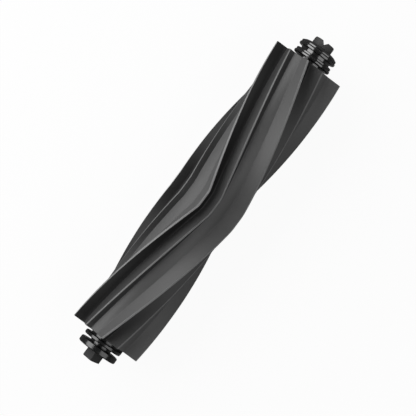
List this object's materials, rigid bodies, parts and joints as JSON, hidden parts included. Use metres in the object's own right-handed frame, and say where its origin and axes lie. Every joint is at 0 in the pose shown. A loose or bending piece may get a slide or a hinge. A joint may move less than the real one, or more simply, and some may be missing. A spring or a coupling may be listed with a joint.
{
  "type": "robot vacuum roller brush",
  "caption": "Rubber roller brush of a robot vacuum: chevron fins on a stiff core, a toothed drive end, and a square bearing cap that the roller spins in.",
  "frame": {"origin": "on the spin axis at the middle of the rubber sleeve", "axes": "+X along the spin axis towards the toothed drive end; +Z towards the viewer of the picture, who sees the chevrons point towards -Y"},
  "size_m": [0.1901, 0.039, 0.039],
  "materials": {
    "sleeve_rubber": "satin moulded rubber",
    "core_plastic": "matt moulded plastic",
    "black_plastic": "glossy moulded plastic",
    "shaft_steel": "ground steel",
    "bearing_steel": "polished bearing steel",
    "cage_brass": "stamped brass",
    "seal_felt": "pressed wool felt"
  },
  "bodies": {
    "cap": {"bearing_cap": "black_plastic", "bearing_outer_race": "bearing_steel", "bearing_shield_inboard": "shaft_steel", "bearing_shield_outboard": "shaft_steel", "felt_seal": "seal_felt"},
    "roller": {"rubber_sleeve": "sleeve_rubber", "core_tube": "core_plastic", "steel_shaft": "shaft_steel", "drive_plug": "black_plastic", "idle_plug": "black_plastic", "bearing_inner_race": "bearing_steel", "bearing_spacer": "shaft_steel", "shaft_snap_ring": "shaft_steel"},
    "cage": {"bearing_cage": "cage_brass", "bearing_ball_1": "bearing_steel", "bearing_ball_2": "bearing_steel", "bearing_ball_3": "bearing_steel", "bearing_ball_4": "bearing_steel", "bearing_ball_5": "bearing_steel", "bearing_ball_6": "bearing_steel", "bearing_ball_7": "bearing_steel"}
  },
  "joints": [
    {"name": "roller_spin", "type": "hinge", "parent": "cap", "child": "roller", "pos_m": [-0.08775, 0, 0], "axis": [1, 0, 0], "continuous": true},
    {"name": "cage_spin", "type": "hinge", "parent": "cap", "child": "cage", "pos_m": [-0.08775, 0, 0], "axis": [1, 0, 0], "continuous": true}
  ],
  "couplings": [
    {"joint": "cage_spin", "follows": "roller_spin", "ratio": 0.3556}
  ]
}
